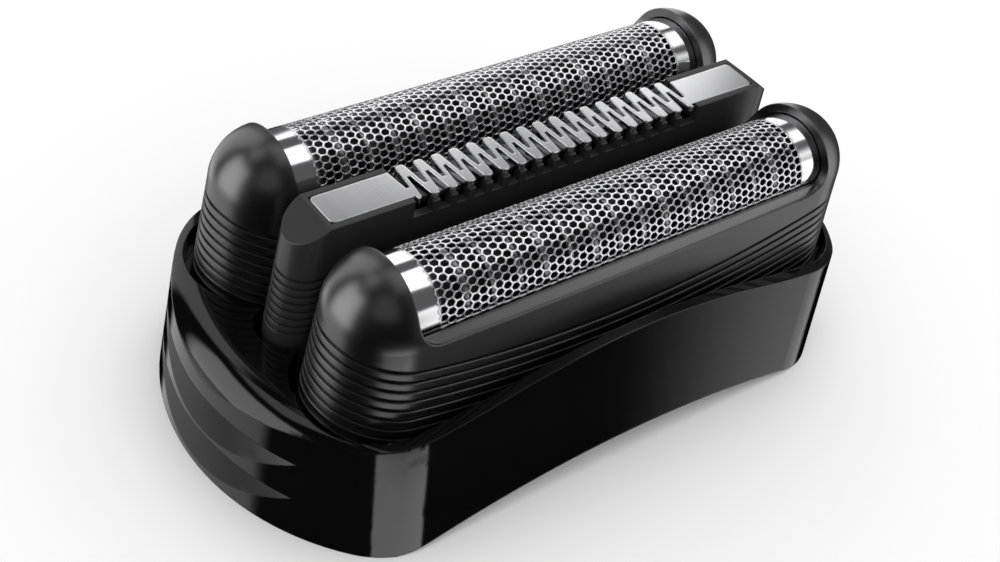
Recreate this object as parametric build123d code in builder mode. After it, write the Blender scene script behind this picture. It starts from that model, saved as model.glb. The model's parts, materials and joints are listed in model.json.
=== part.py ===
"""Three-element foil head of an electric shaver: a glossy shell that clips on the shaver, with two
sprung foil units and a sprung trimmer between them, and the cutters that a drive bridge swings
inside. Millimetres, +Z up, resting on the two end skirts at z = 0, X along the foils."""

import os
from math import cos, radians, sin

from build123d import *

os.makedirs("parts", exist_ok=True)

# Outer shell: plan at the resting edge and at the collar, with walls that lean in between
skirt_length = 55.4
skirt_width = 29.4
skirt_end_radius = 18.0
collar_length = 53.8
collar_width = 26.2
collar_end_radius = 17.2
collar_height = 13.6
plan_corner = 7.0
frame_wall = 1.3
deck_thickness = 1.3
rim_mid_height = 12.1
rim_end_height = 9.7
rim_blend = 24.0
shoulder_run = 2.35
shoulder_drop = 2.2
shoulder_radius = 22.0
shoulder_sweep = 90.0
arch_rise = 2.1
arch_half_span = 20.0

# Finger grips: two shingled steps on each end face
grip_tops = (6.4, 3.3)
grip_drop = 2.9
grip_depth = 0.8
grip_radius = 26.0
grip_sweep = 50.0

# Foil units: bullet-ended carriers with an arched window for the foil
foil_spacing = 14.0
foil_axis_height = 16.3
dome_x = 18.55
dome_radius = 4.25
foot_radius = 5.0
foot_height = 7.2
inner_face_gap = 2.35
window_half = 18.8
sill_below_axis = 0.35
window_rise = 0.2
window_corner = 2.2
lip_above_axis = 0.45
lip_width = 0.2
cavity_half = 19.8
cavity_slack = 0.08
carrier_clearance = 0.55

# Rib grooves that follow a sagging arc round each carrier
groove_count = 9
groove_pitch = 0.8
groove_width = 0.3
groove_depth = 0.3
groove_below_axis = 3.55
groove_arc_half = 19.5
groove_arc_rise = 2.2

# Perforated foil
foil_radius = 3.5
foil_thickness = 0.15
foil_half = 19.6
foil_leg = 2.3
hole_columns = 17
hole_rows = 7
hole_radius = 0.72
hole_row_angle = 23.0

# Foil cutters
blade_radius = 3.1
blade_count = 16
blade_pitch = 2.2
blade_thickness = 0.4
blade_skirt = 1.2
core_radius = 2.1
holder_half = 17.9
holder_below_axis = 2.95
holder_flange_width = 5.8
holder_flange_thickness = 0.9
rail_gap = 0.2
rail_thickness = 0.8
rail_reach = 1.0

# Trimmer
trimmer_length = 45.4
trimmer_top_length = 43.4
trimmer_width = 3.9
trimmer_clearance = 0.4
trimmer_above_axis = 3.1
trimmer_facet_start = 19.7
trimmer_facet_run = 3.0
trimmer_facet_drop = 2.1
end_groove_count = 8
end_groove_pitch = 0.65
end_groove_width = 0.25
end_groove_depth = 0.18
end_groove_below_axis = 1.0
end_groove_reach = 3.2
trimmer_window_half = 13.1
trimmer_ledge_depth = 1.4
fin_width = 0.65
fin_thickness = 0.55
comb_thickness = 0.5
comb_half = 19.35
comb_plate_width = 2.85
comb_plate_corner = 0.4
comb_teeth_width = 3.5
comb_lobes = 17
comb_lobe_pitch = 1.5
comb_gap_mouth = 0.8
comb_gap_root = 0.32
comb_gap_depth = 2.25
comb_tip_radius = 0.25
comb_slack = 0.05
trimmer_cavity_half = 14.4
trimmer_cavity_width = 2.6
cutter_strip_half = 11.8
cutter_strip_width = 2.4
cutter_strip_thickness = 0.45
cutter_tooth_pitch = 1.3
cutter_tooth_gap = 0.5
cutter_tooth_depth = 0.8
slider_width = 2.0
slider_half = 11.4

# Floating travel, springs and guide posts
float_travel = 2.0
travel_clearance = 0.3
spring_x = 21.3
trimmer_spring_x = 20.0
spring_radius = 0.72
spring_wire = 0.3
spring_wire_sides = 4
spring_turns = 4
spring_seat_gap = 0.03
spring_bore_radius = 1.0
spring_bore_below_axis = 3.25
post_radius = 0.45
post_height = 3.4
lug_reach = 0.75
trimmer_lug_reach = 1.25
lug_width = 2.2
lug_thickness = 0.6
lug_gap = 0.2
lug_inset = 1.6

# Chassis plate and drive bridge
chassis_height = 3.6
chassis_thickness = 1.2
chassis_slack = 0.1
snap_width = 5.0
snap_reach = 0.7
snap_height = 0.6
snap_x = 13.0
snap_gap = 0.05
catch_width = 9.0
catch_height = 0.8
catch_reach = 0.8
bridge_gap = 0.15
bridge_thickness = 1.2
bridge_length = 12.0
bridge_width = 18.2
bridge_slack = 0.2
bridge_stroke = 1.0
bridge_rail_length = 16.0
bridge_rail_width = 1.0
bridge_rail_rise = 1.2
prong_thickness = 1.0
prong_width = 1.2
key_thickness = 1.0
key_width = 1.4
key_slack = 0.15
socket_radius = 1.5
socket_wall = 1.1
socket_reach = 1.2
socket_depth = 2.0
notch_half = 8.6

# Values that follow from the sizes above
foil_y = foil_spacing / 2
window_mid_height = foil_axis_height - sill_below_axis
lip_height = foil_axis_height + lip_above_axis
groove_mid_height = foil_axis_height - groove_below_axis
holder_base_height = foil_axis_height - holder_below_axis
spring_bore_top = foil_axis_height - spring_bore_below_axis
trimmer_top = foil_axis_height + trimmer_above_axis
trimmer_ledge_height = trimmer_top - trimmer_ledge_depth
chassis_top = chassis_height + chassis_thickness
bridge_base = chassis_top + bridge_gap
bridge_top = bridge_base + bridge_thickness
key_foot_height = bridge_top + float_travel + travel_clearance
notch_height = key_foot_height
prong_height = holder_base_height - float_travel - travel_clearance
lug_top = rim_end_height - deck_thickness - lug_gap
lug_base = lug_top - lug_thickness
trimmer_end_radius = trimmer_width / 2
comb_base = trimmer_top - comb_thickness
strip_top = comb_base - comb_slack
strip_base = strip_top - cutter_strip_thickness
spring_length = spring_bore_top - chassis_top - 2 * spring_seat_gap - spring_wire
groove_reach = dome_x + foot_radius + 1.0
high_above = foil_axis_height + 2 * dome_radius
spring_places = {
    "front": (spring_x, -foil_y),
    "trimmer": (trimmer_spring_x, 0),
    "rear": (spring_x, foil_y),
}


def blend(low, high, height):
    """A size of the leaning walls at a height between the resting edge and the collar."""
    return low + (high - low) * height / collar_height


def plan_outline(height, inset):
    """Plan of the shell at a height: large end arcs, straight long sides, softened corners."""
    length = blend(skirt_length, collar_length, height) - 2 * inset
    width = blend(skirt_width, collar_width, height) - 2 * inset
    end_radius = blend(skirt_end_radius, collar_end_radius, height) - inset
    with BuildSketch() as outline:
        SlotCenterToCenter(length - 2 * end_radius, 2 * end_radius)
        Rectangle(length, width, mode=Mode.INTERSECT)
        fillet(outline.vertices(), plan_corner - inset)
    return outline.sketch


def shell_form(inset, drop):
    """Leaning body of the shell, closed on top by the saddle-shaped rim line lowered by drop."""
    low_plan = plan_outline(0, inset)
    high_plan = plan_outline(collar_height, inset)
    end_z = rim_end_height - drop
    turn_z = (rim_end_height + rim_mid_height) / 2 - drop
    with BuildPart() as form:
        with BuildSketch(Plane.XY):
            add(low_plan)
        with BuildSketch(Plane.XY.offset(collar_height)):
            add(high_plan)
        loft(ruled=True)
        with BuildSketch(Plane.XZ):
            with BuildLine():
                left = Line((-skirt_length, end_z), (-rim_blend, end_z))
                rise = TangentArc(left @ 1, (-rim_blend / 2, turn_z), tangent=left % 1)
                crown = TangentArc(rise @ 1, (rim_blend / 2, turn_z), tangent=rise % 1)
                fall = TangentArc(crown @ 1, (rim_blend, end_z), tangent=crown % 1)
                right = Line(fall @ 1, (skirt_length, end_z))
                Polyline(
                    right @ 1,
                    (skirt_length, 2 * collar_height),
                    (-skirt_length, 2 * collar_height),
                    left @ 0,
                )
            make_face()
        extrude(amount=skirt_width, both=True, mode=Mode.SUBTRACT)
    return form.part


def turned_plane(x, y, angle):
    """Upright plane through a vertical axis, with its own X turned from +X by the angle."""
    a = cos(radians(angle))
    b = sin(radians(angle))
    return Plane((x, y, 0), x_dir=(a, b, 0), z_dir=(b, -a, 0))


def section_plane(x, y):
    """Cross-section plane of a unit: its own X is +Y, its own Y is +Z."""
    return Plane((x, y, 0), x_dir=(0, 1, 0), z_dir=(1, 0, 0))


def loaf(inset):
    """Outer form of the front carrier: an arched bar with bullet-shaped ends, shrunk by inset."""
    top = dome_radius - inset
    foot = foot_radius - inset
    with BuildPart() as form:
        with BuildSketch(section_plane(-dome_x, -foil_y)):
            with BuildLine():
                Polyline(
                    (top, foil_axis_height),
                    (foot, foot_height),
                    (-foot, foot_height),
                    (-top, foil_axis_height),
                )
                ThreePointArc(
                    (-top, foil_axis_height), (0, foil_axis_height + top), (top, foil_axis_height)
                )
            make_face()
        extrude(amount=2 * dome_x)
        for side in (-1, 1):
            with BuildSketch(turned_plane(side * dome_x, -foil_y, -90 * side)):
                with BuildLine():
                    Polyline(
                        (0, foil_axis_height + top),
                        (0, foot_height),
                        (foot, foot_height),
                        (top, foil_axis_height),
                    )
                    RadiusArc((top, foil_axis_height), (0, foil_axis_height + top), -top)
                make_face()
            revolve(axis=Axis((side * dome_x, -foil_y, 0), (0, 0, 1)), revolution_arc=180)
    return form.part


def arch_section(radius, base):
    """Filled arch about the foil axis, from the base height up, in the current sketch."""
    with Locations((0, foil_axis_height)):
        Circle(radius)
    with Locations((0, (foil_axis_height + base) / 2)):
        Rectangle(2 * radius, foil_axis_height - base)


# Shell of the head: leaning walls, arched long edges, grips and the scalloped opening
with BuildPart() as grip_cutter:
    for grip_top in grip_tops:
        axis_x = blend(skirt_length, collar_length, grip_top) / 2 - grip_depth - grip_radius
        foot_x = blend(skirt_length, collar_length, grip_top - grip_drop) / 2
        with BuildSketch(turned_plane(axis_x, 0, -grip_sweep / 2)):
            with BuildLine():
                Polyline(
                    (grip_radius, grip_top),
                    (foot_x - axis_x, grip_top - grip_drop),
                    (foot_x - axis_x + 2 * grip_depth, grip_top - grip_drop),
                    (grip_radius + 3 * grip_depth, grip_top),
                    close=True,
                )
            make_face()
        revolve(axis=Axis((axis_x, 0, 0), (0, 0, 1)), revolution_arc=grip_sweep)
    mirror(about=Plane.YZ)

# Rounded shoulder along the top of each end, fading out towards the corners
shoulder_foot = rim_end_height - shoulder_drop
shoulder_x = blend(skirt_length, collar_length, shoulder_foot) / 2 - shoulder_radius
with BuildPart() as shoulder_cutter:
    with BuildSketch(turned_plane(shoulder_x, 0, -shoulder_sweep / 2)):
        with BuildLine():
            deck_edge = (shoulder_radius - shoulder_run, rim_end_height)
            rounding = TangentArc(deck_edge, (shoulder_radius, shoulder_foot), tangent=(1, 0))
            Polyline(
                rounding @ 1,
                (shoulder_radius + shoulder_run, shoulder_foot),
                (shoulder_radius + shoulder_run, rim_mid_height),
                (shoulder_radius - shoulder_run, rim_mid_height),
                rounding @ 0,
            )
        make_face()
    revolve(axis=Axis((shoulder_x, 0, 0), (0, 0, 1)), revolution_arc=shoulder_sweep)
    mirror(about=Plane.YZ)

frame_outside = shell_form(0, 0)
frame_cavity = shell_form(frame_wall, deck_thickness)
with BuildPart() as outer_frame:
    add(frame_outside)
    add(frame_cavity, mode=Mode.SUBTRACT)
    with BuildSketch(Plane.XZ):
        with BuildLine():
            ThreePointArc((-arch_half_span, 0), (0, arch_rise), (arch_half_span, 0))
            Line((arch_half_span, 0), (-arch_half_span, 0))
        make_face()
    extrude(amount=skirt_width, both=True, mode=Mode.SUBTRACT)
    with BuildSketch(Plane.XY.offset(foot_height)):
        with Locations((0, -foil_y), (0, foil_y)):
            SlotCenterToCenter(2 * dome_x, 2 * (foot_radius + carrier_clearance))
        SlotOverall(trimmer_length + 2 * trimmer_clearance, trimmer_width + 2 * trimmer_clearance)
    extrude(amount=collar_height, mode=Mode.SUBTRACT)
    add(shoulder_cutter.part, mode=Mode.SUBTRACT)
    add(grip_cutter.part, mode=Mode.SUBTRACT)
    # Snaps that carry the chassis plate, and the catches that the shaver's side buttons hold
    wall_y = blend(skirt_width, collar_width, chassis_height) / 2 - frame_wall
    snap_z = chassis_height - snap_gap - snap_height / 2
    for side in (-1, 1):
        with Locations((-snap_x, side * wall_y, snap_z), (snap_x, side * wall_y, snap_z)):
            Box(snap_width, 2 * snap_reach, snap_height)
        with Locations((0, side * wall_y, arch_rise + catch_height / 2 + snap_gap)):
            Box(catch_width, 2 * catch_reach, catch_height)
outer_frame.part.label = "outer_frame"
export_step(outer_frame.part, "parts/outer_frame.step")

# Chassis plate: floor, spring posts, guide rails of the bridge and the drive window
chassis_plan = plan_outline(chassis_top, frame_wall + chassis_slack)
socket_outer = socket_radius + socket_wall
with BuildPart() as inner_chassis:
    with BuildSketch(Plane.XY.offset(chassis_height)):
        add(chassis_plan)
        drive_window = 2 * (socket_outer + bridge_slack)
        SlotOverall(drive_window + 2 * bridge_stroke, drive_window, mode=Mode.SUBTRACT)
    extrude(amount=chassis_thickness)
    with BuildSketch(Plane.XY.offset(chassis_top)):
        for post_x, post_y in spring_places.values():
            with Locations((-post_x, post_y), (post_x, post_y)):
                Circle(post_radius)
    extrude(amount=post_height)
    with BuildSketch(Plane.XY.offset(chassis_top)):
        with GridLocations(1, bridge_width + 2 * bridge_slack + bridge_rail_width, 1, 2):
            Rectangle(bridge_rail_length, bridge_rail_width)
    extrude(amount=bridge_rail_rise)
inner_chassis.part.label = "inner_chassis"
export_step(inner_chassis.part, "parts/inner_chassis.step")

# Drive bridge: plate with three pairs of prongs and the socket for the shaver's drive pin
with BuildPart() as drive_bridge:
    with BuildSketch(Plane.XY.offset(bridge_base)):
        RectangleRounded(bridge_length, bridge_width, socket_radius)
    extrude(amount=bridge_thickness)
    with BuildSketch(Plane.XY.offset(bridge_top)):
        with GridLocations(key_thickness + 2 * key_slack + prong_thickness, foil_y, 2, 3):
            Rectangle(prong_thickness, prong_width)
    extrude(amount=prong_height - bridge_top)
    with BuildSketch(Plane.XY.offset(bridge_base)):
        Circle(socket_outer)
    extrude(amount=-socket_reach)
    with BuildSketch(Plane.XY.offset(bridge_base - socket_reach)):
        Circle(socket_radius)
    extrude(amount=socket_depth, mode=Mode.SUBTRACT)
drive_bridge.part.label = "drive_bridge"
export_step(drive_bridge.part, "parts/drive_bridge.step")

# Rib grooves of a carrier: thin bands that sag towards the middle of the unit
groove_rise = groove_arc_rise * (groove_reach / groove_arc_half) ** 2
with BuildPart() as rib_grooves:
    with BuildSketch(Plane.XZ.offset(foil_y)):
        for rib in range(groove_count):
            low = groove_mid_height - rib * groove_pitch - groove_width
            high = low + groove_width
            with BuildLine():
                low_end = low + groove_rise
                high_end = high + groove_rise
                under = ThreePointArc((-groove_reach, low_end), (0, low), (groove_reach, low_end))
                over = ThreePointArc((-groove_reach, high_end), (0, high), (groove_reach, high_end))
                Line(under @ 0, over @ 0)
                Line(under @ 1, over @ 1)
            make_face()
    extrude(amount=2 * foot_radius, both=True)
    add(loaf(groove_depth), mode=Mode.SUBTRACT)
    split(bisect_by=Plane.XZ.offset(inner_face_gap + groove_depth), keep=Keep.TOP)

# Front carrier: hollow loaf with the window, the bevelled lips, rails, spring bores and lugs
front_loaf = loaf(0)
with BuildPart() as front_carrier:
    add(front_loaf)
    add(rib_grooves.part, mode=Mode.SUBTRACT)
    split(bisect_by=Plane.XZ.offset(inner_face_gap), keep=Keep.TOP)
    with BuildSketch(section_plane(-cavity_half, -foil_y)):
        arch_section(foil_radius + cavity_slack, foot_height - 1)
    extrude(amount=2 * cavity_half, mode=Mode.SUBTRACT)
    with BuildSketch(Plane.XZ.offset(foil_y)) as window:
        with BuildLine():
            window_end_height = window_mid_height + window_rise
            sill = ThreePointArc(
                (-window_half, window_end_height), (0, window_mid_height), (window_half, window_end_height)
            )
            Polyline(sill @ 1, (window_half, high_above), (-window_half, high_above), sill @ 0)
        make_face()
        fillet(window.vertices().group_by(Axis.Y)[0], window_corner)
    extrude(amount=2 * foot_radius, both=True, mode=Mode.SUBTRACT)
    # Lips that rise from the sill to the foil, and rails that carry the cutter holder
    lip_inner = foil_radius + cavity_slack
    with BuildSketch(section_plane(-window_half, -foil_y)):
        with BuildLine():
            Polyline(
                (lip_inner, window_mid_height - window_rise),
                (lip_inner + 3 * lip_width, window_mid_height - window_rise),
                (lip_inner + lip_width, lip_height),
                (lip_inner, lip_height),
                close=True,
            )
        make_face()
        mirror(about=Plane.YZ)
    extrude(amount=2 * window_half)
    rail_top = holder_base_height - rail_gap
    with BuildSketch(section_plane(-cavity_half, -foil_y)):
        with Locations(
            (lip_inner - rail_reach / 2, rail_top - rail_thickness / 2),
            (-lip_inner + rail_reach / 2, rail_top - rail_thickness / 2),
        ):
            Rectangle(rail_reach, rail_thickness)
    extrude(amount=2 * cavity_half)
    # Room for the bridge below the middle, bores for the springs, lugs under the deck
    with Locations((0, -foil_y, (foot_height - 1 + notch_height) / 2)):
        Box(2 * notch_half, 3 * foot_radius, notch_height - foot_height + 1, mode=Mode.SUBTRACT)
    lug_end = dome_x + foot_radius + lug_reach
    lug_root = dome_x + spring_bore_radius + foot_radius / 2
    with Locations(
        ((lug_end + lug_root) / 2, -foil_y + lug_inset, lug_base + lug_thickness / 2),
        (-(lug_end + lug_root) / 2, -foil_y + lug_inset, lug_base + lug_thickness / 2),
    ):
        Box(lug_end - lug_root, lug_width, lug_thickness)
    with BuildSketch(Plane.XY.offset(foot_height - 1)):
        with Locations((-spring_x, -foil_y), (spring_x, -foil_y)):
            Circle(spring_bore_radius)
    extrude(amount=spring_bore_top - foot_height + 1, mode=Mode.SUBTRACT)
front_carrier.part.label = "front_carrier"
export_step(front_carrier.part, "parts/front_carrier.step")

with BuildPart() as rear_carrier:
    mirror(front_carrier.part, about=Plane.XZ)
rear_carrier.part.label = "rear_carrier"
export_step(rear_carrier.part, "parts/rear_carrier.step")

# Foils: thin arched sheets with hexagonal openings, offset from row to row
hole_pitch = 2 * window_half / (hole_columns + 1)
hole_planes = []
for row in range(hole_rows):
    lean = radians((row - (hole_rows - 1) / 2) * hole_row_angle)
    shift = hole_pitch / 4 * (1 if row % 2 else -1)
    for column in range(hole_columns):
        hole_x = (column - (hole_columns - 1) / 2) * hole_pitch + shift
        outward = (0, sin(lean), cos(lean))
        origin = (hole_x, -foil_y + foil_radius * sin(lean), foil_axis_height + foil_radius * cos(lean))
        hole_planes.append(Plane(origin, x_dir=(1, 0, 0), z_dir=outward))

with BuildPart() as front_foil:
    with BuildSketch(section_plane(-foil_half, -foil_y)):
        arch_section(foil_radius, foil_axis_height - foil_leg)
        with Locations((0, foil_axis_height)):
            Circle(foil_radius - foil_thickness, mode=Mode.SUBTRACT)
        with Locations((0, foil_axis_height - foil_radius)):
            Rectangle(2 * (foil_radius - foil_thickness), 2 * foil_radius, mode=Mode.SUBTRACT)
    extrude(amount=2 * foil_half)
    with BuildSketch(*hole_planes):
        RegularPolygon(hole_radius, 6)
    extrude(amount=3 * foil_thickness, both=True, mode=Mode.SUBTRACT)
front_foil.part.label = "front_foil"
export_step(front_foil.part, "parts/front_foil.step")

with BuildPart() as rear_foil:
    mirror(front_foil.part, about=Plane.XZ)
rear_foil.part.label = "rear_foil"
export_step(rear_foil.part, "parts/rear_foil.step")

# Foil cutters: a moulded holder with a drive key, and the row of arched blades on it
with BuildPart() as front_cutter_holder:
    with BuildSketch(section_plane(-holder_half, -foil_y)):
        arch_section(core_radius, holder_base_height)
        with Locations((0, holder_base_height + holder_flange_thickness / 2)):
            Rectangle(holder_flange_width, holder_flange_thickness)
    extrude(amount=2 * holder_half)
    with Locations((0, -foil_y, (key_foot_height + holder_base_height) / 2)):
        Box(key_thickness, key_width, holder_base_height - key_foot_height)
front_cutter_holder.part.label = "front_cutter_holder"
export_step(front_cutter_holder.part, "parts/front_cutter_holder.step")

blade_start = -(blade_count - 1) / 2 * blade_pitch - blade_thickness / 2
blade_planes = [section_plane(blade_start + i * blade_pitch, -foil_y) for i in range(blade_count)]
with BuildPart() as front_cutter_blades:
    with BuildSketch(*blade_planes):
        arch_section(blade_radius, foil_axis_height - blade_skirt)
        arch_cut = core_radius + comb_slack
        with Locations((0, foil_axis_height)):
            Circle(arch_cut, mode=Mode.SUBTRACT)
        with Locations((0, foil_axis_height - blade_radius)):
            Rectangle(2 * arch_cut, 2 * blade_radius, mode=Mode.SUBTRACT)
            Rectangle(3 * blade_radius, 2 * (blade_radius - blade_skirt), mode=Mode.SUBTRACT)
    extrude(amount=blade_thickness)
front_cutter_blades.part.label = "front_cutter_blades"
export_step(front_cutter_blades.part, "parts/front_cutter_blades.step")

with BuildPart() as rear_cutter_holder:
    mirror(front_cutter_holder.part, about=Plane.XZ)
rear_cutter_holder.part.label = "rear_cutter_holder"
export_step(rear_cutter_holder.part, "parts/rear_cutter_holder.step")

with BuildPart() as rear_cutter_blades:
    mirror(front_cutter_blades.part, about=Plane.XZ)
rear_cutter_blades.part.label = "rear_cutter_blades"
export_step(rear_cutter_blades.part, "parts/rear_cutter_blades.step")

# Trimmer housing: narrow bar with ribbed round ends, a window lined with fins, pockets for the comb
with BuildPart() as trimmer_housing:
    with BuildSketch(Plane.XY.offset(foot_height)):
        SlotOverall(trimmer_length, trimmer_width)
    with BuildSketch(Plane.XY.offset(trimmer_top)):
        SlotOverall(trimmer_top_length, trimmer_width)
    loft(ruled=True)
    for rib in range(end_groove_count):
        rib_height = foil_axis_height - end_groove_below_axis - rib * end_groove_pitch
        rise_share = (rib_height - foot_height) / (trimmer_top - foot_height)
        rib_length = trimmer_length + (trimmer_top_length - trimmer_length) * rise_share
        with BuildSketch(Plane.XY.offset(rib_height)):
            with GridLocations(trimmer_length, 1, 2, 1):
                Rectangle(2 * end_groove_reach, 2 * trimmer_width)
            SlotOverall(
                rib_length - 2 * end_groove_depth, trimmer_width - 2 * end_groove_depth, mode=Mode.SUBTRACT
            )
        extrude(amount=-end_groove_width, mode=Mode.SUBTRACT)
    with BuildSketch(Plane.XZ):
        for side in (-1, 1):
            with BuildLine():
                Polyline(
                    (side * trimmer_facet_start, trimmer_top),
                    (side * (trimmer_facet_start + trimmer_facet_run), trimmer_top - trimmer_facet_drop),
                    (side * trimmer_length, trimmer_top - trimmer_facet_drop),
                    (side * trimmer_length, trimmer_top),
                    close=True,
                )
            make_face()
    extrude(amount=trimmer_width, both=True, mode=Mode.SUBTRACT)
    with Locations((0, 0, (trimmer_ledge_height + high_above) / 2)):
        Box(2 * trimmer_window_half, 2 * trimmer_width, high_above - trimmer_ledge_height, mode=Mode.SUBTRACT)
    with BuildSketch(Plane.XY.offset(comb_base)):
        Rectangle(2 * (comb_half + comb_slack), comb_plate_width + 2 * comb_slack)
    extrude(amount=2 * comb_thickness, mode=Mode.SUBTRACT)
    with BuildSketch(Plane.XY.offset(foot_height)):
        Rectangle(2 * trimmer_cavity_half, trimmer_cavity_width)
    extrude(amount=trimmer_ledge_height - foot_height, mode=Mode.SUBTRACT)
    with BuildSketch(Plane.XY.offset(trimmer_ledge_height)):
        fin_y = trimmer_width / 2 - fin_width / 2
        with GridLocations(comb_lobe_pitch, 2 * fin_y, comb_lobes - 1, 2):
            Rectangle(fin_thickness, fin_width)
    extrude(amount=strip_top - trimmer_ledge_height)
    rail_top = holder_base_height - rail_gap
    trimmer_rail = (trimmer_cavity_width - slider_width) / 2 + rail_gap
    with BuildSketch(section_plane(-trimmer_cavity_half, 0)):
        with Locations(
            (trimmer_cavity_width / 2 - trimmer_rail / 2, rail_top - rail_thickness / 2),
            (-trimmer_cavity_width / 2 + trimmer_rail / 2, rail_top - rail_thickness / 2),
        ):
            Rectangle(trimmer_rail, rail_thickness)
    extrude(amount=2 * trimmer_cavity_half)
    with Locations((0, 0, (foot_height - 1 + notch_height) / 2)):
        Box(2 * notch_half, 2 * trimmer_width, notch_height - foot_height + 1, mode=Mode.SUBTRACT)
    trimmer_lug_end = trimmer_length / 2 + trimmer_clearance + trimmer_lug_reach
    trimmer_lug_root = trimmer_length / 2 - trimmer_end_radius / 2
    with Locations(
        ((trimmer_lug_end + trimmer_lug_root) / 2, 0, lug_base + lug_thickness / 2),
        (-(trimmer_lug_end + trimmer_lug_root) / 2, 0, lug_base + lug_thickness / 2),
    ):
        Box(trimmer_lug_end - trimmer_lug_root, lug_width, lug_thickness)
    with BuildSketch(Plane.XY.offset(foot_height - 1)):
        with Locations((-trimmer_spring_x, 0), (trimmer_spring_x, 0)):
            Circle(spring_bore_radius)
    extrude(amount=spring_bore_top - foot_height + 1, mode=Mode.SUBTRACT)
trimmer_housing.part.label = "trimmer_housing"
export_step(trimmer_housing.part, "parts/trimmer_housing.step")

# Trimmer comb: one stamped strip, two end plates joined by a serpentine of leaf-shaped lobes
teeth_edge = comb_teeth_width / 2
teeth_half = comb_lobes * comb_lobe_pitch / 2
with BuildPart() as trimmer_comb:
    with BuildSketch(Plane.XY.offset(comb_base)) as comb_plan:
        RectangleRounded(2 * comb_half, comb_plate_width, comb_plate_corner)
        Rectangle(2 * teeth_half, comb_teeth_width)
        for side, gaps in ((1, comb_lobes + 1), (-1, comb_lobes)):
            gap_root = side * (teeth_edge - comb_gap_depth)
            with GridLocations(comb_lobe_pitch, 1, gaps, 1):
                Polygon(
                    (-comb_gap_mouth / 2, side * teeth_edge),
                    (-comb_gap_root / 2, gap_root),
                    (comb_gap_root / 2, gap_root),
                    (comb_gap_mouth / 2, side * teeth_edge),
                    align=None,
                    mode=Mode.SUBTRACT,
                )
        tips = comb_plan.vertices().filter_by(
            lambda corner: abs(corner.Y) > teeth_edge - comb_slack and abs(corner.X) < teeth_half - comb_slack
        )
        fillet(tips, comb_tip_radius)
    extrude(amount=comb_thickness)
trimmer_comb.part.label = "trimmer_comb"
export_step(trimmer_comb.part, "parts/trimmer_comb.step")

# Trimmer cutter: toothed strip under the comb, and the moulded slider that carries it
strip_teeth = int(2 * (cutter_strip_half - cutter_tooth_pitch) / cutter_tooth_pitch)
with BuildPart() as trimmer_cutter:
    with BuildSketch(Plane.XY.offset(strip_base)):
        Rectangle(2 * cutter_strip_half, cutter_strip_width)
        tooth_y = cutter_strip_width - cutter_tooth_depth
        with GridLocations(cutter_tooth_pitch, tooth_y, strip_teeth, 2):
            Rectangle(cutter_tooth_gap, cutter_tooth_depth, mode=Mode.SUBTRACT)
    extrude(amount=cutter_strip_thickness)
trimmer_cutter.part.label = "trimmer_cutter"
export_step(trimmer_cutter.part, "parts/trimmer_cutter.step")

with BuildPart() as trimmer_slider:
    with BuildSketch(Plane.XY.offset(holder_base_height)):
        Rectangle(2 * slider_half, slider_width)
    extrude(amount=strip_base - holder_base_height)
    with Locations((0, 0, (key_foot_height + holder_base_height) / 2)):
        Box(key_thickness, key_width, holder_base_height - key_foot_height)
trimmer_slider.part.label = "trimmer_slider"
export_step(trimmer_slider.part, "parts/trimmer_slider.step")

# Springs: one coil round each post, up into the bore of its unit
with BuildPart() as coil:
    with BuildLine() as coil_path:
        Helix(spring_length / spring_turns, spring_length, spring_radius)
    with BuildSketch(Plane(coil_path.line @ 0, z_dir=coil_path.line % 0)):
        RegularPolygon(spring_wire / 2, spring_wire_sides)
    sweep(is_frenet=True)
spring_foot = chassis_top + spring_seat_gap + spring_wire / 2
for unit, (place_x, place_y) in spring_places.items():
    for end, end_x in (("left", -place_x), ("right", place_x)):
        name = f"{unit}_spring_{end}"
        spring = Pos(end_x, place_y, spring_foot) * coil.part
        spring.label = name
        export_step(spring, f"parts/{name}.step")
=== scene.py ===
"""Looks of the foil shaver head: fine honeycomb foils, finishes of every piece, studio and camera.
Metres, in the frame of the CAD solids: X along the foils, +Z up."""

import json
import math

import bpy
from mathutils import Matrix, Vector


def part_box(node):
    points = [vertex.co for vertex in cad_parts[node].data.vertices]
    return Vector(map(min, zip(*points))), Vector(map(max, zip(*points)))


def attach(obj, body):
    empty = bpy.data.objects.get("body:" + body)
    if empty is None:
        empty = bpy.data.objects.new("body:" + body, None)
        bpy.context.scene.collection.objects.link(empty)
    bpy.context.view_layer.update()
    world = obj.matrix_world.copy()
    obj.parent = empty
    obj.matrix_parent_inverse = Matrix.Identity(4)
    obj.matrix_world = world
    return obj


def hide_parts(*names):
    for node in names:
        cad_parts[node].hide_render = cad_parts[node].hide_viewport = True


MM = 0.001

# Camera of the photograph
PHOTO_LENS = 55.43
PHOTO_SENSOR = 36.0
CAMERA_PLACE = Vector((-65.72, -61.12, 82.96)) * MM
CAMERA_AZIMUTH = math.radians(-46.41)
CAMERA_ELEVATION = math.radians(40.99)
CAMERA_ROLL = math.radians(13.49)
CAMERA_CLIP = 5 * MM

# Foil: the arched sheet and its honeycomb field, whose cells are drawn out along the foil
HOLE_PITCH = 0.56 * MM
HOLE_STRETCH = 1.33
BAR_WIDTH = 0.105 * MM
HOLE_CORNER = 0.035 * MM
HONEYCOMB_COLUMN_PAIRS = 26
HONEYCOMB_ROWS = 18
WELD_DISTANCE = HOLE_PITCH / 100
FOIL_RADIUS = 3.5 * MM
FOIL_THICKNESS = 0.1 * MM
FOIL_SINK = 0.004 * MM
ARCH_STEPS = 40
SMOOTH_ANGLE = math.radians(25)

# Surfaces: soft edges as the shading shows them, fine grain, slow clouds of colour and gloss
EDGE_RADIUS = 0.15 * MM
EDGE_SAMPLES = 4
GRAIN_SCALE = 6000.0
GRAIN_DEPTH = 0.004 * MM
GRAIN_DETAIL = 3.0
CLOUD_SCALE = 160.0
CLOUD_DETAIL = 4.0
COOL_TINT = 1.03

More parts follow.
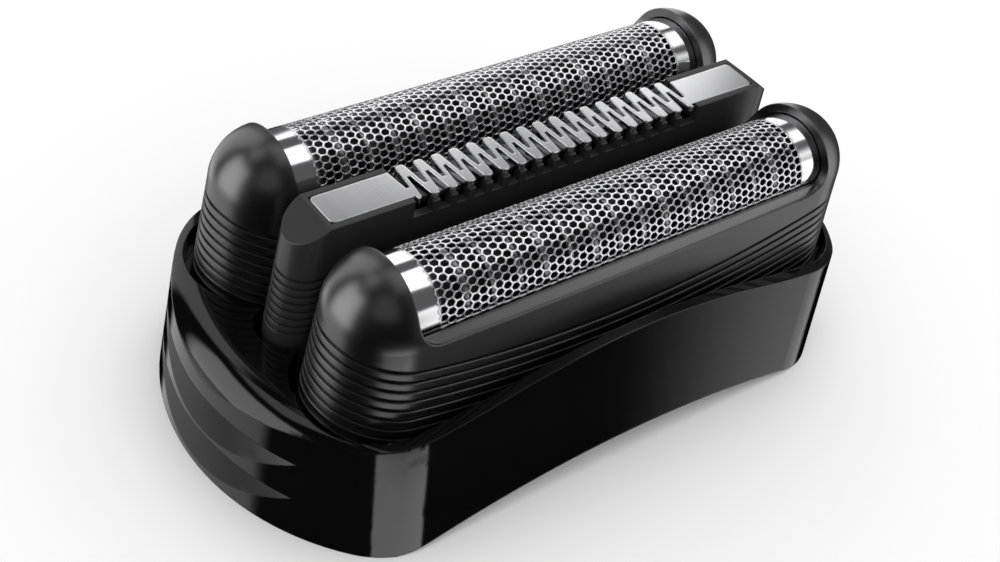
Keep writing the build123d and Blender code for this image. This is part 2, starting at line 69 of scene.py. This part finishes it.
# Studio panels that the gloss and the metal show: middle azimuth from +Y towards +X, half width,
# middle elevation, half height and feather in degrees, then strength
STUDIO_PANELS = {
    "left_side": (-67, 19, 12, 24, 7, 2.4),
    "left_high": (-50, 18, 64, 8, 6, 1.0),
    "left_low": (-41, 37, -36, 14, 8, 0.8),
    "back_box": (-6, 16, 15, 40, 6, 1.1),
    "corner_strip": (-176, 25, -46, 9, 3, 1.8),
    "right_box": (116, 9, -14, 42, 11, 1.0),
    "front_right": (138, 12, 2, 14, 5, 1.15),
    "back_right": (35.25, 6.25, 13, 24.6, 3, 1.35),
    "right_middle": (48.75, 4.25, 9, 24.5, 3, 1.35),
    "top_right": (80, 20, 54, 10, 4, 1.3),
    "top_front": (114, 14, 55, 9, 2, 1.3),
    "ceiling": (80, 100, 82, 11, 6, 0.7),
    "front_sky": (-140, 22, 44, 16, 8, 0.3),
    "metal_fill": (90, 70, 30, 40, 10, 0.1),
}
PANEL_SOCKETS = ("Middle Azimuth", "Half Width", "Middle Elevation", "Half Height", "Feather", "Strength")
HALF_TURN = 180.0
TENT_RADIUS = 0.6
TENT_SEGMENTS = 48
TENT_RINGS = 24

# Floor and overhead lamp
FLOOR_SIZE = 4
FLOOR_GREY = 0.94
FLOOR_ROUGHNESS = 0.9
FLOOR_SHEEN = 0.1
LAMP_PLACE = Vector((0.1, 0.15, 0.6))
LAMP_SIZE = 0.5
LAMP_POWER = 0.5


def deselect_all():
    if bpy.context.mode != "OBJECT":
        bpy.ops.object.mode_set(mode="OBJECT")
    bpy.ops.object.select_all(action="DESELECT")


def make_active(piece):
    deselect_all()
    piece.select_set(True)
    bpy.context.view_layer.objects.active = piece


def pick_faces(piece, wanted):
    """Goes into edit mode with only the faces selected whose centre the test accepts."""
    make_active(piece)
    mesh = piece.data
    for vertex in mesh.vertices:
        vertex.select = False
    for edge in mesh.edges:
        edge.select = False
    for face in mesh.polygons:
        face.select = wanted(face.center)
    bpy.ops.object.mode_set(mode="EDIT")
    bpy.ops.mesh.select_mode(type="FACE")


def pick_all(piece):
    make_active(piece)
    bpy.ops.object.mode_set(mode="EDIT")
    bpy.ops.mesh.select_all(action="SELECT")


def apply_modifier(piece, kind, **settings):
    make_active(piece)
    modifier = piece.modifiers.new(kind.title(), kind)
    for key, value in settings.items():
        setattr(modifier, key, value)
    bpy.ops.object.modifier_apply(modifier=modifier.name)


def settle(piece):
    """Puts the piece's turn, place and scale into its mesh."""
    make_active(piece)
    bpy.ops.object.transform_apply(location=True, rotation=True, scale=True)


def honeycomb(name):
    """Flat honeycomb in XZ: one pair of cells, repeated along the foil and across it."""
    column_step = HOLE_PITCH * math.sqrt(3) / 2
    deselect_all()
    bpy.ops.mesh.primitive_circle_add(
        vertices=6, radius=HOLE_PITCH / math.sqrt(3), fill_type="NGON",
        rotation=(math.pi / 2, math.pi / 6, 0),
    )
    piece = bpy.context.object
    piece.name = name
    settle(piece)
    pick_all(piece)
    bpy.ops.mesh.inset(thickness=BAR_WIDTH / 2, depth=0)
    bpy.ops.mesh.bevel(offset=HOLE_CORNER, segments=1, affect="VERTICES")
    bpy.ops.object.mode_set(mode="OBJECT")
    pick_faces(piece, lambda centre: centre.length < BAR_WIDTH / 4)
    bpy.ops.mesh.delete(type="FACE")
    pick_all(piece)
    bpy.ops.mesh.duplicate_move(TRANSFORM_OT_translate={"value": (column_step, 0, HOLE_PITCH / 2)})
    bpy.ops.object.mode_set(mode="OBJECT")
    apply_modifier(
        piece, "ARRAY", count=HONEYCOMB_COLUMN_PAIRS, use_relative_offset=False, use_constant_offset=True,
        constant_offset_displace=(2 * column_step, 0, 0),
    )
    apply_modifier(
        piece, "ARRAY", count=HONEYCOMB_ROWS, use_relative_offset=False, use_constant_offset=True,
        constant_offset_displace=(0, 0, HOLE_PITCH),
    )
    pick_all(piece)
    bpy.ops.mesh.remove_doubles(threshold=WELD_DISTANCE)
    bpy.ops.object.mode_set(mode="OBJECT")
    corners = [Vector(c) for c in piece.bound_box]
    middle = (corners[0] + corners[6]) / 2
    piece.location = -middle
    settle(piece)
    piece.scale = (HOLE_STRETCH, 1, 1)
    settle(piece)
    return piece


def border_sheet(name, length, leg, field_half, field_arc):
    """Flat rim of the foil in XZ: a sheet as wide as arch and legs, with the field left out."""
    arc = math.pi * FOIL_RADIUS + 2 * leg
    deselect_all()
    bpy.ops.mesh.primitive_grid_add(
        x_subdivisions=1, y_subdivisions=ARCH_STEPS, size=1, rotation=(math.pi / 2, 0, 0),
    )
    piece = bpy.context.object
    piece.name = name
    piece.scale = (length, arc, 1)
    settle(piece)
    for axis, place in ((0, field_half), (2, field_arc / 2)):
        for side in (-1, 1):
            cut_at = Vector((0, 0, 0))
            cut_at[axis] = side * place
            across = Vector((0, 0, 0))
            across[axis] = 1
            pick_all(piece)
            bpy.ops.mesh.bisect(plane_co=cut_at, plane_no=across)
            bpy.ops.object.mode_set(mode="OBJECT")
    pick_faces(piece, lambda centre: abs(centre.x) < field_half and abs(centre.z) < field_arc / 2)
    bpy.ops.mesh.delete(type="FACE")
    bpy.ops.object.mode_set(mode="OBJECT")
    return piece


def foil(node, body, finish):
    """Arched foil in the place of its node: a honeycomb field, its outer cells just under a plain rim."""
    low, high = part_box(node)
    axis_y = (low.y + high.y) / 2
    axis_z = high.z - FOIL_RADIUS
    leg = axis_z - low.z
    field = honeycomb(node + "_field")
    field_half = field.dimensions.x / 2 - HOLE_STRETCH * HOLE_PITCH / (2 * math.sqrt(3))
    field_arc = field.dimensions.z - HOLE_PITCH
    rim = border_sheet(node + "_rim", high.x - low.x, leg, field_half, field_arc)
    leg_share = leg / (math.pi * FOIL_RADIUS + 2 * leg)
    apply_modifier(
        field, "SIMPLE_DEFORM", deform_method="BEND", deform_axis="X",
        angle=field.dimensions.z / (FOIL_RADIUS - FOIL_SINK),
    )
    apply_modifier(
        rim, "SIMPLE_DEFORM", deform_method="BEND", deform_axis="X", angle=math.pi,
        limits=(leg_share, 1 - leg_share),
    )
    for part, sink in ((field, FOIL_SINK), (rim, 0)):
        part.rotation_euler = (-math.pi / 2, 0, 0)
        part.location = (0, axis_y, high.z - sink)
        settle(part)
    make_active(rim)
    field.select_set(True)
    bpy.ops.object.join()
    piece = bpy.context.object
    piece.name = node + "_mesh"
    pick_all(piece)
    bpy.ops.mesh.normals_make_consistent(inside=False)
    bpy.ops.object.mode_set(mode="OBJECT")
    apply_modifier(piece, "SOLIDIFY", thickness=FOIL_THICKNESS, offset=-1)
    piece.data.materials.clear()
    piece.data.materials.append(finish)
    make_active(piece)
    bpy.ops.object.shade_smooth_by_angle(angle=SMOOTH_ANGLE)
    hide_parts(node)
    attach(piece, body)


def new_finish(name):
    """Material with a plain Principled shader; returns both."""
    finish = bpy.data.materials.new(name)
    finish.use_nodes = True
    return finish, finish.node_tree.nodes["Principled BSDF"]


def math_node(tree, operation, *sources):
    """Math node that reads the given sockets; returns its output."""
    node = tree.nodes.new("ShaderNodeMath")
    node.operation = operation
    for index, source in enumerate(sources):
        tree.links.new(source, node.inputs[index])
    return node.outputs[0]


def surface_grain_group():
    """Moulded or rolled surface: a normal with soft edges and fine grain, and a slow cloud."""
    group = bpy.data.node_groups.new("surface_grain", "ShaderNodeTree")
    face = group.interface
    face.new_socket("Grain Scale", in_out="INPUT", socket_type="NodeSocketFloat")
    face.new_socket("Grain Depth", in_out="INPUT", socket_type="NodeSocketFloat")
    face.new_socket("Stretch", in_out="INPUT", socket_type="NodeSocketVector")
    face.new_socket("Normal", in_out="OUTPUT", socket_type="NodeSocketVector")
    face.new_socket("Cloud", in_out="OUTPUT", socket_type="NodeSocketFloat")
    nodes, links = group.nodes, group.links
    given = nodes.new("NodeGroupInput")
    result = nodes.new("NodeGroupOutput")
    place = nodes.new("ShaderNodeTexCoord")
    stretch = nodes.new("ShaderNodeVectorMath")
    stretch.operation = "MULTIPLY"
    links.new(place.outputs["Object"], stretch.inputs[0])
    links.new(given.outputs["Stretch"], stretch.inputs[1])
    grain = nodes.new("ShaderNodeTexNoise")
    grain.inputs["Detail"].default_value = GRAIN_DETAIL
    links.new(stretch.outputs[0], grain.inputs["Vector"])
    links.new(given.outputs["Grain Scale"], grain.inputs["Scale"])
    cloud = nodes.new("ShaderNodeTexNoise")
    cloud.inputs["Scale"].default_value = CLOUD_SCALE
    cloud.inputs["Detail"].default_value = CLOUD_DETAIL
    links.new(stretch.outputs[0], cloud.inputs["Vector"])
    soft_edge = nodes.new("ShaderNodeBevel")
    soft_edge.samples = EDGE_SAMPLES
    soft_edge.inputs["Radius"].default_value = EDGE_RADIUS
    bump = nodes.new("ShaderNodeBump")
    bump.inputs["Strength"].default_value = 1.0
    links.new(soft_edge.outputs["Normal"], bump.inputs["Normal"])
    links.new(grain.outputs["Fac"], bump.inputs["Height"])
    links.new(given.outputs["Grain Depth"], bump.inputs["Distance"])
    links.new(bump.outputs["Normal"], result.inputs["Normal"])
    links.new(cloud.outputs["Fac"], result.inputs["Cloud"])
    return group


def grained_finish(name, grain_group, colour, colour_far, rough, rough_far, metallic=0.0, ior=1.5,
                   grain_scale=GRAIN_SCALE, grain_depth=GRAIN_DEPTH, stretch=(1, 1, 1)):
    """Finish whose colour and roughness drift between two values over a fine bumped grain."""
    finish, shader = new_finish(name)
    nodes, links = finish.node_tree.nodes, finish.node_tree.links
    grain = nodes.new("ShaderNodeGroup")
    grain.node_tree = grain_group
    grain.inputs["Grain Scale"].default_value = grain_scale
    grain.inputs["Grain Depth"].default_value = grain_depth
    grain.inputs["Stretch"].default_value = stretch
    tint = nodes.new("ShaderNodeMix")
    tint.data_type = "RGBA"
    tint.inputs["A"].default_value = (*colour, 1)
    tint.inputs["B"].default_value = (*colour_far, 1)
    links.new(grain.outputs["Cloud"], tint.inputs["Factor"])
    links.new(tint.outputs["Result"], shader.inputs["Base Color"])
    haze = nodes.new("ShaderNodeMapRange")
    haze.inputs["To Min"].default_value = rough
    haze.inputs["To Max"].default_value = rough_far
    links.new(grain.outputs["Cloud"], haze.inputs["Value"])
    links.new(haze.outputs["Result"], shader.inputs["Roughness"])
    links.new(grain.outputs["Normal"], shader.inputs["Normal"])
    shader.inputs["Metallic"].default_value = metallic
    shader.inputs["IOR"].default_value = ior
    return finish


def grey(value):
    return (value, value, value * COOL_TINT)


def make_finishes():
    """One finish per material slot of the record, and a duller satin for the trimmer's housing."""
    grain = surface_grain_group()
    return {
        "gloss_shell": grained_finish(
            "black_gloss_shell", grain, grey(0.002), grey(0.004), 0.06, 0.1,
            grain_scale=900.0, grain_depth=0.001 * MM,
        ),
        "satin_carrier": grained_finish(
            "black_satin_carrier", grain, grey(0.003), grey(0.005), 0.29, 0.34, ior=2.1,
            grain_scale=5000.0, grain_depth=0.0015 * MM,
        ),
        "satin_housing": grained_finish(
            "black_satin_housing", grain, grey(0.020), grey(0.026), 0.28, 0.36, ior=1.5,
            grain_scale=5000.0, grain_depth=0.002 * MM,
        ),
        "inner_plastic": grained_finish(
            "dark_moulding", grain, grey(0.010), grey(0.016), 0.45, 0.6, grain_depth=0.006 * MM,
        ),
        "foil_nickel": grained_finish(
            "nickel_foil", grain, grey(0.80), grey(0.88), 0.07, 0.13, metallic=1.0,
            grain_scale=420.0, grain_depth=0.008 * MM, stretch=(0.3, 2, 2),
        ),
        "comb_steel": grained_finish(
            "bright_comb_steel", grain, grey(0.86), grey(0.9), 0.14, 0.2, metallic=1.0,
            grain_scale=3000.0, grain_depth=0.0015 * MM, stretch=(4, 0.4, 1),
        ),
        "blade_steel": grained_finish(
            "ground_blade_steel", grain, grey(0.24), grey(0.34), 0.28, 0.4, metallic=1.0,
            grain_scale=4000.0, grain_depth=0.002 * MM, stretch=(1, 6, 1),
        ),
        "spring_steel": grained_finish(
            "drawn_spring_wire", grain, grey(0.45), grey(0.55), 0.25, 0.35, metallic=1.0,
        ),
    }


def soft_panel_group():
    """Brightness of one studio panel, by the direction that a reflection looks in, in degrees."""
    group = bpy.data.node_groups.new("soft_panel", "ShaderNodeTree")
    for name in ("Azimuth", "Elevation", *PANEL_SOCKETS):
        group.interface.new_socket(name, in_out="INPUT", socket_type="NodeSocketFloat")
    group.interface.new_socket("Light", in_out="OUTPUT", socket_type="NodeSocketFloat")
    nodes, links = group.nodes, group.links
    given = nodes.new("NodeGroupInput").outputs
    result = nodes.new("NodeGroupOutput")

    def edge(angle, middle, half):
        """1 inside the panel, falling to 0 over the feather beyond its edge."""
        turn = math_node(group, "WRAP", math_node(group, "SUBTRACT", given[angle], given[middle]))
        turn.node.inputs[1].default_value = HALF_TURN
        turn.node.inputs[2].default_value = -HALF_TURN
        fade = nodes.new("ShaderNodeMapRange")
        fade.interpolation_type = "SMOOTHSTEP"
        links.new(math_node(group, "ABSOLUTE", turn), fade.inputs["Value"])
        links.new(given[half], fade.inputs["From Min"])
        links.new(math_node(group, "ADD", given[half], given["Feather"]), fade.inputs["From Max"])
        fade.inputs["To Min"].default_value = 1.0
        fade.inputs["To Max"].default_value = 0.0
        return fade.outputs["Result"]

    across = edge("Azimuth", "Middle Azimuth", "Half Width")
    upright = edge("Elevation", "Middle Elevation", "Half Height")
    shape = math_node(group, "MULTIPLY", across, upright)
    links.new(math_node(group, "MULTIPLY", shape, given["Strength"]), result.inputs["Light"])
    return group


def studio_tent():
    """Dark tent with soft panels round the object, which only reflections show."""
    deselect_all()
    bpy.ops.mesh.primitive_uv_sphere_add(segments=TENT_SEGMENTS, ring_count=TENT_RINGS, radius=TENT_RADIUS)
    tent = bpy.context.object
    tent.name = "studio_tent"
    cloth = bpy.data.materials.new("tent_panels")
    cloth.use_nodes = True
    tree = cloth.node_tree
    nodes, links = tree.nodes, tree.links
    nodes.remove(nodes["Principled BSDF"])
    glow = nodes.new("ShaderNodeEmission")
    links.new(glow.outputs[0], nodes["Material Output"].inputs["Surface"])
    look = nodes.new("ShaderNodeTexCoord")
    direction = nodes.new("ShaderNodeVectorMath")
    direction.operation = "NORMALIZE"
    links.new(look.outputs["Object"], direction.inputs[0])
    parts = nodes.new("ShaderNodeSeparateXYZ")
    links.new(direction.outputs[0], parts.inputs[0])
    turn = math_node(tree, "ARCTAN2", parts.outputs["X"], parts.outputs["Y"])
    rise = math_node(tree, "ARCSINE", parts.outputs["Z"])
    azimuth = math_node(tree, "DEGREES", turn)
    elevation = math_node(tree, "DEGREES", rise)
    panel_group = soft_panel_group()
    total = None
    for name, values in STUDIO_PANELS.items():
        panel = nodes.new("ShaderNodeGroup")
        panel.node_tree = panel_group
        panel.label = name
        links.new(azimuth, panel.inputs["Azimuth"])
        links.new(elevation, panel.inputs["Elevation"])
        for socket, value in zip(PANEL_SOCKETS, values):
            panel.inputs[socket].default_value = value
        if total is None:
            total = panel.outputs["Light"]
        else:
            total = math_node(tree, "ADD", panel.outputs["Light"], total)
    links.new(total, glow.inputs["Strength"])
    tent.data.materials.append(cloth)
    tent.visible_camera = False
    tent.visible_diffuse = False
    tent.visible_transmission = False
    tent.visible_shadow = False


def white_world():
    """White world at the default strength of 1, which lights the matt surfaces and the floor."""
    world = bpy.data.worlds.new("white_studio")
    bpy.context.scene.world = world
    world.use_nodes = True
    backdrop = world.node_tree.nodes["Background"]
    backdrop.inputs["Color"].default_value = (1, 1, 1, 1)


def pale_floor():
    """Plain pale floor that keeps a soft shadow; the gloss looks past it at the tent's panels."""
    deselect_all()
    bpy.ops.mesh.primitive_plane_add(size=FLOOR_SIZE)
    floor = bpy.context.object
    floor.name = "floor"
    finish, shader = new_finish("pale_floor")
    shader.inputs["Base Color"].default_value = (FLOOR_GREY, FLOOR_GREY, FLOOR_GREY, 1)
    shader.inputs["Roughness"].default_value = FLOOR_ROUGHNESS
    shader.inputs["Specular IOR Level"].default_value = FLOOR_SHEEN
    floor.data.materials.append(finish)
    floor.visible_glossy = False


def overhead_lamp():
    """Overhead softbox for the floor and the matt surfaces; reflections don't show it."""
    lamp = bpy.data.lights.new("overhead", "AREA")
    lamp.size = LAMP_SIZE
    lamp.energy = LAMP_POWER
    light = bpy.data.objects.new("overhead", lamp)
    bpy.context.collection.objects.link(light)
    light.location = LAMP_PLACE
    light.rotation_mode = "QUATERNION"
    light.rotation_quaternion = (-LAMP_PLACE).to_track_quat("-Z", "Y")
    light.visible_glossy = False
    light.visible_camera = False


def photo_camera():
    """Camera of the photograph: place, view direction and the roll of the picture."""
    lens = bpy.data.cameras.new("photo_camera")
    lens.lens = PHOTO_LENS
    lens.sensor_width = PHOTO_SENSOR
    lens.sensor_fit = "HORIZONTAL"
    lens.clip_start = CAMERA_CLIP
    camera = bpy.data.objects.new("photo_camera", lens)
    bpy.context.collection.objects.link(camera)
    reach = math.cos(CAMERA_ELEVATION)
    back = Vector((
        math.sin(CAMERA_AZIMUTH) * reach,
        -math.cos(CAMERA_AZIMUTH) * reach,
        math.sin(CAMERA_ELEVATION),
    ))
    level = Vector((math.cos(CAMERA_AZIMUTH), math.sin(CAMERA_AZIMUTH), 0))
    rise = back.cross(level)
    right = level * math.cos(CAMERA_ROLL) + rise * math.sin(CAMERA_ROLL)
    up = rise * math.cos(CAMERA_ROLL) - level * math.sin(CAMERA_ROLL)
    turn = Matrix((right, up, back)).transposed()
    camera.matrix_world = Matrix.Translation(CAMERA_PLACE) @ turn.to_4x4()
    bpy.context.scene.camera = camera


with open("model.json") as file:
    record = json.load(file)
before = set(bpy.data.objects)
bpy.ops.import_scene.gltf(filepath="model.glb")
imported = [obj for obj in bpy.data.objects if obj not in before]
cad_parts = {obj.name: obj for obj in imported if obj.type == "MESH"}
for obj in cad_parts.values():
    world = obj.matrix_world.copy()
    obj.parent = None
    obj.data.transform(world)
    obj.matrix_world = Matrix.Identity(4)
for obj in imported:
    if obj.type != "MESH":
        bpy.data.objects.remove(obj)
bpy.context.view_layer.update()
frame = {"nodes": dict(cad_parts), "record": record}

finishes = make_finishes()
finish_names = {subpart["node"]: subpart["material_slot"] for subpart in frame["record"]["subparts"]}
finish_names["trimmer_housing"] = "satin_housing"  # duller than the carriers in the same slot
for name, finish_name in finish_names.items():
    node = frame["nodes"][name]
    node.data.materials.clear()
    node.data.materials.append(finishes[finish_name])

foil("front_foil", "front_unit", finishes["foil_nickel"])
foil("rear_foil", "rear_unit", finishes["foil_nickel"])

white_world()
studio_tent()
pale_floor()
overhead_lamp()
photo_camera()
bpy.context.scene.view_settings.view_transform = "Standard"
